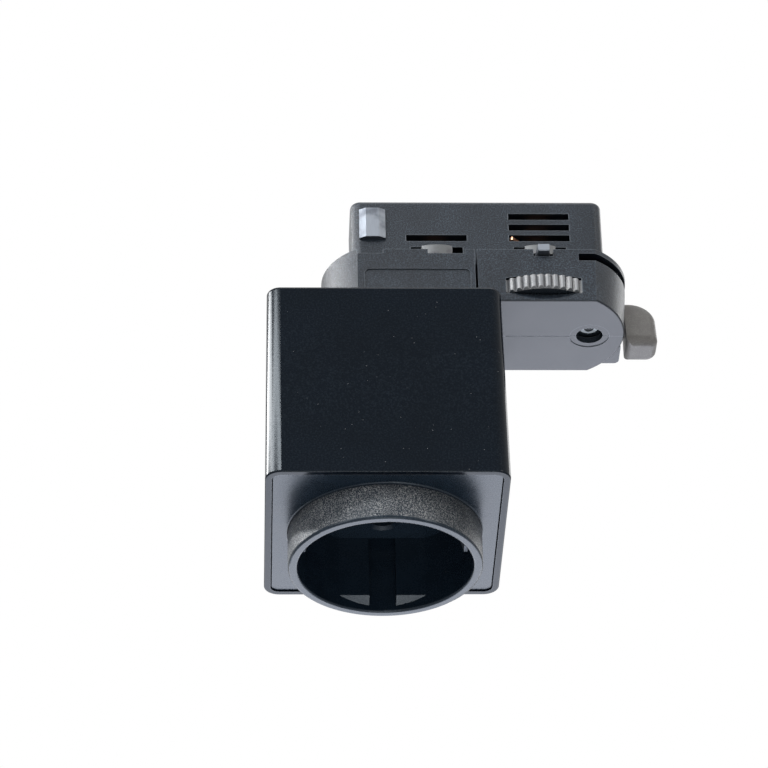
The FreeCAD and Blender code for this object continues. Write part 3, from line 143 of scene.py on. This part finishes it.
class Surface:
    """A node material with one Principled shader and helpers for its textures."""

    def __init__(self, name):
        self.material = bpy.data.materials.new(name)
        self.material.use_nodes = True
        self.nodes = self.material.node_tree.nodes
        self.links = self.material.node_tree.links
        self.shader = self.nodes["Principled BSDF"]
        self.place = self.nodes.new("ShaderNodeTexCoord").outputs["Object"]

    def set(self, **values):
        """Sets plain values on the shader, with _ for a space in a socket's name."""
        for name, value in values.items():
            self.shader.inputs[name.replace("_", " ")].default_value = value
        return self

    def wire(self, name, value):
        """Links a value to the shader."""
        self.links.new(value, self.shader.inputs[name])

    def noise(self, size, detail, stretch=None):
        """Noise whose blobs are about size metres across, as a value from 0 to 1."""
        node = self.nodes.new("ShaderNodeTexNoise")
        node.inputs["Scale"].default_value = 1 / size
        node.inputs["Detail"].default_value = detail
        source = self.place
        if stretch:
            mapping = self.nodes.new("ShaderNodeMapping")
            mapping.inputs["Scale"].default_value = stretch
            self.links.new(source, mapping.inputs["Vector"])
            source = mapping.outputs["Vector"]
        self.links.new(source, node.inputs["Vector"])
        return node.outputs["Fac"]

    def specks(self, spacing, reach):
        """Sparse round specks: 1 in a speck and 0 past its reach, a share of the spacing."""
        node = self.nodes.new("ShaderNodeTexVoronoi")
        node.inputs["Scale"].default_value = 1 / spacing
        self.links.new(self.place, node.inputs["Vector"])
        return self.ramp(node.outputs["Distance"], reach, reach * 0.5)

    def ramp(self, value, low, high, start=0.0, end=1.0):
        """A soft step from start at low to end at high."""
        node = self.nodes.new("ShaderNodeMapRange")
        node.interpolation_type = "SMOOTHSTEP"
        limits = (("From Min", low), ("From Max", high), ("To Min", start), ("To Max", end))
        for name, number in limits:
            node.inputs[name].default_value = number
        self.links.new(value, node.inputs["Value"])
        return node.outputs["Result"]

    def math(self, operation, first, second):
        """One calculation on two values, each a number or a node's output."""
        node = self.nodes.new("ShaderNodeMath")
        node.operation = operation
        for index, value in enumerate((first, second)):
            if isinstance(value, (int, float)):
                node.inputs[index].default_value = value
            else:
                self.links.new(value, node.inputs[index])
        return node.outputs["Value"]

    def times(self, first, second):
        return self.math("MULTIPLY", first, second)

    def plus(self, first, second):
        return self.math("ADD", first, second)

    def mix(self, share, first, second):
        """The first colour at share 0 and the second at share 1."""
        node = self.nodes.new("ShaderNodeMix")
        node.data_type = "RGBA"
        self.links.new(share, node.inputs["Factor"])
        for index, value in ((MIX_FIRST, first), (MIX_SECOND, second)):
            if isinstance(value, tuple):
                node.inputs[index].default_value = value
            else:
                self.links.new(value, node.inputs[index])
        return node.outputs[MIX_RESULT]

    def parts(self, vector):
        """The X, Y and Z outputs of a vector."""
        node = self.nodes.new("ShaderNodeSeparateXYZ")
        self.links.new(vector, node.inputs["Vector"])
        return node.outputs

    def edges(self, radius):
        """1 on edges and 0 on flats, for wear."""
        flat_cosine, edge_cosine = 0.995, 0.8
        bevel = self.nodes.new("ShaderNodeBevel")
        bevel.inputs["Radius"].default_value = radius
        geometry = self.nodes.new("ShaderNodeNewGeometry")
        dot = self.nodes.new("ShaderNodeVectorMath")
        dot.operation = "DOT_PRODUCT"
        self.links.new(bevel.outputs["Normal"], dot.inputs[0])
        self.links.new(geometry.outputs["Normal"], dot.inputs[1])
        return self.ramp(dot.outputs["Value"], flat_cosine, edge_cosine)

    def upright(self):
        """1 on walls that stand upright and 0 on level faces."""
        level_rise, upright_rise = 0.8, 0.4
        geometry = self.nodes.new("ShaderNodeNewGeometry")
        rise = self.math("ABSOLUTE", self.parts(geometry.outputs["True Normal"])["Z"], 0.0)
        return self.ramp(rise, level_rise, upright_rise)

    def height(self):
        """The height in the part's frame."""
        return self.parts(self.place)["Z"]

    def outside(self, radius, soft, centre=(0.0, 0.0)):
        """1 outside a radius round an upright axis and 0 inside it, over a soft step."""
        parts = self.parts(self.place)
        flat = self.nodes.new("ShaderNodeCombineXYZ")
        for axis, middle in zip("XY", centre):
            self.links.new(self.math("SUBTRACT", parts[axis], middle), flat.inputs[axis])
        reach = self.nodes.new("ShaderNodeVectorMath")
        reach.operation = "LENGTH"
        self.links.new(flat.outputs["Vector"], reach.inputs[0])
        return self.ramp(reach.outputs["Value"], radius - soft, radius)

    def bump(self, height, depth, edge=None):
        """Bumps of a depth, over edges rounded to the radius edge."""
        node = self.nodes.new("ShaderNodeBump")
        node.inputs["Strength"].default_value = 1.0
        node.inputs["Distance"].default_value = depth
        self.links.new(height, node.inputs["Height"])
        if edge:
            bevel = self.nodes.new("ShaderNodeBevel")
            bevel.inputs["Radius"].default_value = edge
            self.links.new(bevel.outputs["Normal"], node.inputs["Normal"])
        self.links.new(node.outputs["Normal"], self.shader.inputs["Normal"])


def clouded(surface, value, base):
    """The base colour with slightly lighter clouds."""
    lighter = tuple(part * 1.25 for part in base[:3]) + (1.0,)
    return surface.mix(surface.ramp(value, *CLOUD_RANGE), base, lighter)


def moulded(name, base, worn, roughness, roughness_spread, grain, grain_depth, cloud,
            specular=0.5, tint=PLAIN, speckle=0.0, dust=0.0, edge=0.0, edge_colour=None,
            walls=None, wall_roughness=0.0, shade=None):
    """Moulded plastic: eroded grain, cloudy gloss, lighter worn edges and a few dust specks.

    walls gives where the grain is deep, 1 or 0, and shade paints shade into the colour from place
    to place.
    """
    surface = Surface(name).set(Specular_IOR_Level=specular, Specular_Tint=tint + (1.0,))
    fine = surface.noise(grain, detail=2.0)
    broad = surface.noise(cloud, detail=4.0)
    paint = clouded(surface, broad, base)
    # Painted shade from the shade function, where one is given.
    if shade:
        paint = shade(surface, paint)
    if speckle:
        grit_size, patch_range, least_grit = 0.8, (0.25, 0.65), 0.5
        grit = surface.ramp(surface.noise(grain * grit_size, detail=5.0), *GRIT_RANGE)
        patches = surface.ramp(broad, *patch_range, least_grit, 1.0)
        grit = surface.times(surface.times(grit, speckle), patches)
        if walls:
            grit = surface.times(grit, walls(surface))
        paint = surface.mix(grit, paint, worn)
    if edge:
        wear = 0.45
        paint = surface.mix(surface.times(surface.edges(edge), wear), paint, edge_colour or worn)
    if dust:
        dust_spacing, dust_reach = 1.9 * MM, 0.05
        speck = surface.times(surface.specks(dust_spacing, dust_reach), dust)
        paint = surface.mix(speck, paint, colour(170, 172, 176))
    surface.wire("Base Color", paint)
    mottle = surface.plus(surface.times(fine, 0.5), surface.times(broad, 0.5))
    dull = surface.ramp(mottle, *CLOUD_RANGE, roughness, roughness + roughness_spread)
    if wall_roughness:
        dull = surface.plus(dull, surface.times(walls(surface), wall_roughness))
    surface.wire("Roughness", dull)
    height = fine
    if walls:
        wall_share, flat_share = 0.9, 0.1
        strength = surface.plus(surface.times(walls(surface), wall_share), flat_share)
        height = surface.times(surface.math("SUBTRACT", fine, 0.5), strength)
    surface.bump(height, grain_depth)
    return surface.material


def metal(name, base, dark, roughness, brushing):
    """Plated or rolled metal with drawn lines and tarnish; brushing stretches the lines."""
    spread = 0.18
    surface = Surface(name).set(Metallic=1.0)
    lines = surface.noise(0.5 * MM, detail=2.0, stretch=brushing)
    stain = surface.noise(3.5 * MM, detail=5.0)
    surface.wire("Base Color", surface.mix(surface.ramp(stain, *STAIN_RANGE), base, dark))
    surface.wire("Roughness", surface.ramp(lines, *TONE_RANGE, roughness, roughness + spread))
    surface.bump(lines, depth=0.01 * MM, edge=0.08 * MM)
    return surface.material


def insulation(name, base, stripe=None):
    """Soft wire insulation, with one side in a second colour on the earth wire."""
    surface = Surface(name)
    tone = surface.noise(1.2 * MM, detail=3.0)
    tint = clouded(surface, tone, base)
    if stripe:
        soft = 0.1 * MM
        side = surface.ramp(surface.parts(surface.place)["Y"], -soft, soft)
        tint = surface.mix(side, tint, stripe)
    surface.wire("Base Color", tint)
    surface.wire("Roughness", surface.ramp(tone, *TONE_RANGE, start=0.35, end=0.5))
    surface.bump(tone, depth=0.01 * MM)
    return surface.material


def printing(name, base, thin):
    """Printed ink that is thin in places."""
    surface = Surface(name)
    tone = surface.noise(0.4 * MM, detail=3.0)
    surface.wire("Base Color", surface.mix(surface.ramp(tone, *PRINT_RANGE), base, thin))
    surface.wire("Roughness", surface.ramp(tone, *TONE_RANGE, start=0.4, end=0.6))
    surface.bump(tone, depth=0.004 * MM)
    return surface.material


def collar_wall(surface):
    """Where the face moulding is eroded: the outside of its collar."""
    low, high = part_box("socket_face")[0].z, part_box("socket_housing")[0].z
    above = surface.ramp(surface.height(), low + COLLAR_RIM[0], low + COLLAR_RIM[1])
    below = surface.ramp(surface.height(), high, high - COLLAR_ROOT)
    return surface.times(surface.times(above, below), surface.outside(COLLAR_RADIUS, COLLAR_SOFT))


def dial_shade(surface, paint):
    """Painted shade: the wheel's level faces are painted dark, and the grooves round its rim are
    painted darker.
    """
    crest_inset, groove_depth = 0.05 * MM, 0.4 * MM
    low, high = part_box("selector_wheel")
    middle = (low + high) / 2
    radius = (high.x - low.x) / 2 - crest_inset
    crests = surface.outside(radius, groove_depth, (middle.x, middle.y))
    # Painted shade: the grooves between the crests are darker.
    rim = surface.mix(crests, colour(52, 55, 60), paint)
    # Painted shade: the level faces under the wheel are painted dark.
    return surface.mix(surface.upright(), colour(24, 30, 36), rim)


def make_materials():
    """The material of each finish."""
    return {
        "cube": moulded(
            "cube_plastic", base=colour(1, 6, 15), worn=colour(36, 44, 52),
            roughness=0.1, roughness_spread=0.03,
            grain=0.5 * MM, grain_depth=0.002 * MM, cloud=14 * MM,
            specular=0.13, tint=(0.82, 0.92, 1.0), speckle=0.3, dust=0.5,
            edge=0.32 * MM, edge_colour=colour(120, 126, 134)),
        "face": moulded(
            "face_plastic", base=colour(20, 30, 40), worn=colour(166, 167, 168),
            roughness=0.24, roughness_spread=0.06,
            grain=0.3 * MM, grain_depth=0.07 * MM, cloud=5 * MM,
            specular=0.27, tint=(0.85, 0.93, 1.0), speckle=0.85,
            walls=collar_wall, wall_roughness=0.16),
        "adapter": moulded(
            "adapter_plastic", base=colour(10, 15, 22), worn=colour(84, 98, 112),
            roughness=0.36, roughness_spread=0.05,
            grain=0.38 * MM, grain_depth=0.06 * MM, cloud=9 * MM,
            specular=0.38, tint=(0.9, 0.94, 1.0), speckle=0.4,
            edge=0.28 * MM, edge_colour=colour(132, 140, 148), walls=Surface.upright),
        "lever": moulded(
            "lever_plastic", base=colour(96, 95, 94), worn=colour(156, 154, 150),
            roughness=0.34, roughness_spread=0.12,
            grain=0.4 * MM, grain_depth=0.02 * MM, cloud=4 * MM,
            specular=0.15, speckle=0.25, edge=0.24 * MM),
        # The wheel's dark level faces and darker grooves are painted shade.
        "wheel": moulded(
            "wheel_plastic", base=colour(112, 115, 119), worn=colour(180, 182, 184),
            roughness=0.24, roughness_spread=0.12,
            grain=0.35 * MM, grain_depth=0.012 * MM, cloud=3 * MM,
            specular=0.6, edge=0.2 * MM, shade=dial_shade),
        "ceramic": moulded(
            "base_moulding", base=colour(206, 203, 194), worn=colour(220, 218, 212),
            roughness=0.5, roughness_spread=0.15,
            grain=0.4 * MM, grain_depth=0.02 * MM, cloud=7 * MM),
        "brass": metal("brass_strip", base=(0.78, 0.58, 0.27, 1), dark=(0.5, 0.34, 0.15, 1),
                       roughness=0.22, brushing=(0.2, 3, 3)),
        "nickel": metal("nickel_strip", base=(0.2, 0.22, 0.25, 1), dark=(0.1, 0.11, 0.13, 1),
                        roughness=0.4, brushing=(3, 3, 0.2)),
        "steel": metal("zinc_steel", base=(0.12, 0.125, 0.13, 1), dark=(0.07, 0.07, 0.08, 1),
                       roughness=0.44, brushing=(3, 0.2, 3)),
        "copper": metal("copper_strip", base=(0.74, 0.41, 0.26, 1), dark=(0.45, 0.22, 0.14, 1),
                        roughness=0.25, brushing=(0.2, 3, 3)),
        "brown": insulation("wire_brown", colour(92, 56, 34)),
        "blue": insulation("wire_blue", colour(36, 84, 160)),
        "green": insulation("wire_green", colour(60, 140, 60), stripe=colour(225, 205, 40)),
    }


def dress_nodes(materials):
    """Gives every CAD node its material."""
    for finish, nodes in FINISHES.items():
        for name in nodes:
            piece = frame["nodes"][name]
            piece.data.materials.clear()
            piece.data.materials.append(materials[finish])


def joint(name):
    """A joint of the frame by its name."""
    return next(item for item in frame["joints"] if item["name"] == name)


def wheel_numbers(ink):
    """Printed numbers under the wheel; one shows in the window at each 45 degree step."""
    axis = Vector(joint("selector_turn")["pos_m"])
    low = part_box("selector_wheel")[0]
    for number in range(POSITIONS):
        curve = bpy.data.curves.new(f"number_curve_{number}", "FONT")
        curve.body = str(number)
        curve.size = NUMBER_SIZE
        curve.align_x = "CENTER"
        curve.align_y = "CENTER"
        curve.extrude = PRINT_DEPTH / 2
        curve.resolution_u = 6
        text = add_object(f"number_text_{number}", curve)
        bpy.context.view_layer.update()
        mesh = bpy.data.meshes.new_from_object(text)
        bpy.data.objects.remove(text)
        angle = math.radians(-POSITION_STEP * number)
        mesh.transform(Matrix.Diagonal((NUMBER_STRETCH, 1.0, 1.0, 1.0)))
        mesh.transform(Matrix.Rotation(math.pi, 4, "X"))
        mesh.transform(Matrix.Rotation(angle, 4, "Z"))
        mesh.transform(Matrix.Translation((axis.x + NUMBER_CIRCLE * math.cos(angle),
                                           axis.y + NUMBER_CIRCLE * math.sin(angle),
                                           low.z - PRINT_DEPTH / 2)))
        piece = add_object(f"wheel_number_{number}", mesh)
        piece.data.materials.append(ink)
        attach(piece, "selector")


def seen_rays(tree):
    """1 for rays from the camera, and in reflections and glass, and 0 for all others."""
    path = tree.nodes.new("ShaderNodeLightPath")
    value = path.outputs["Is Camera Ray"]
    for name in ("Is Glossy Ray", "Is Transmission Ray"):
        either = tree.nodes.new("ShaderNodeMath")
        either.operation = "MAXIMUM"
        tree.links.new(value, either.inputs[0])
        tree.links.new(path.outputs[name], either.inputs[1])
        value = either.outputs["Value"]
    return value


def make_floor():
    """A wide pale floor. Where it is seen, an even glow lifts it towards the background."""
    corners = [(-FLOOR_HALF, -FLOOR_HALF, 0), (FLOOR_HALF, -FLOOR_HALF, 0),
               (FLOOR_HALF, FLOOR_HALF, 0), (-FLOOR_HALF, FLOOR_HALF, 0)]
    mesh = bpy.data.meshes.new("floor")
    mesh.from_pydata(corners, [], [(0, 1, 2, 3)])
    floor = add_object("floor", mesh)
    floor.location = (0, 0, FLOOR_LEVEL)
    surface = Surface("floor_paint").set(Base_Color=(0.9, 0.9, 0.9, 1), Roughness=0.8)
    glow = surface.nodes.new("ShaderNodeEmission")
    glow.inputs["Color"].default_value = (0.86, 0.86, 0.86, 1)
    blend = surface.nodes.new("ShaderNodeMixShader")
    share = surface.times(seen_rays(surface.material.node_tree), FLOOR_GLOW_SHARE)
    surface.links.new(share, blend.inputs["Fac"])
    surface.links.new(surface.shader.outputs["BSDF"], blend.inputs[1])
    surface.links.new(glow.outputs["Emission"], blend.inputs[2])
    surface.links.new(blend.outputs["Shader"], surface.nodes["Material Output"].inputs["Surface"])
    mesh.materials.append(surface.material)


def make_world():
    """White where it is seen, and a soft level of light on the object."""
    world = bpy.data.worlds.new("studio")
    bpy.context.scene.world = world
    world.use_nodes = True
    tree = world.node_tree
    background = tree.nodes["Background"]
    background.inputs["Color"].default_value = (1, 1, 1, 1)
    level = tree.nodes.new("ShaderNodeMapRange")
    level.inputs["To Min"].default_value = WORLD_LIGHT
    level.inputs["To Max"].default_value = 1.0
    tree.links.new(seen_rays(tree), level.inputs["Value"])
    tree.links.new(level.outputs["Result"], background.inputs["Strength"])


def softbox(name, azimuth, height, distance, size, radiance, tint):
    """A soft lamp that aims at the object from an azimuth and a height."""
    around, up = math.radians(azimuth), math.radians(height)
    way = Vector((math.sin(around) * math.cos(up), -math.cos(around) * math.cos(up), math.sin(up)))
    place = CENTRE + way * distance
    data = bpy.data.lights.new(name, "AREA")
    data.shape = "RECTANGLE"
    data.size, data.size_y = size
    data.energy = radiance * math.pi * size[0] * size[1]
    data.color = tint
    lamp = add_object(name, data)
    lamp.location = place
    lamp.rotation_euler = (CENTRE - place).to_track_quat("-Z", "Y").to_euler()
    lamp.visible_camera = False


def make_camera():
    """The photo's viewpoint: slightly left, from below and in front."""
    data = bpy.data.cameras.new("camera")
    data.sensor_width = SENSOR_WIDTH
    data.lens = FOCAL_PIXELS / PHOTO_PIXELS * SENSOR_WIDTH
    data.clip_start = CAMERA_CLIP_START
    camera = add_object("camera", data)
    columns = (CAMERA_RIGHT, CAMERA_UP, -CAMERA_AHEAD, CAMERA_PLACE)
    rows = [[column[axis] for column in columns] for axis in range(3)]
    camera.matrix_world = Matrix(rows + [[0, 0, 0, 1]])
    bpy.context.scene.camera = camera


def main():
    bpy.context.scene.view_settings.view_transform = "Standard"
    dress_nodes(make_materials())
    wheel_numbers(printing("number_ink", base=colour(196, 205, 214), thin=colour(160, 170, 180)))
    make_floor()
    make_world()
    for box in SOFTBOXES:
        softbox(*box)
    make_camera()


main()
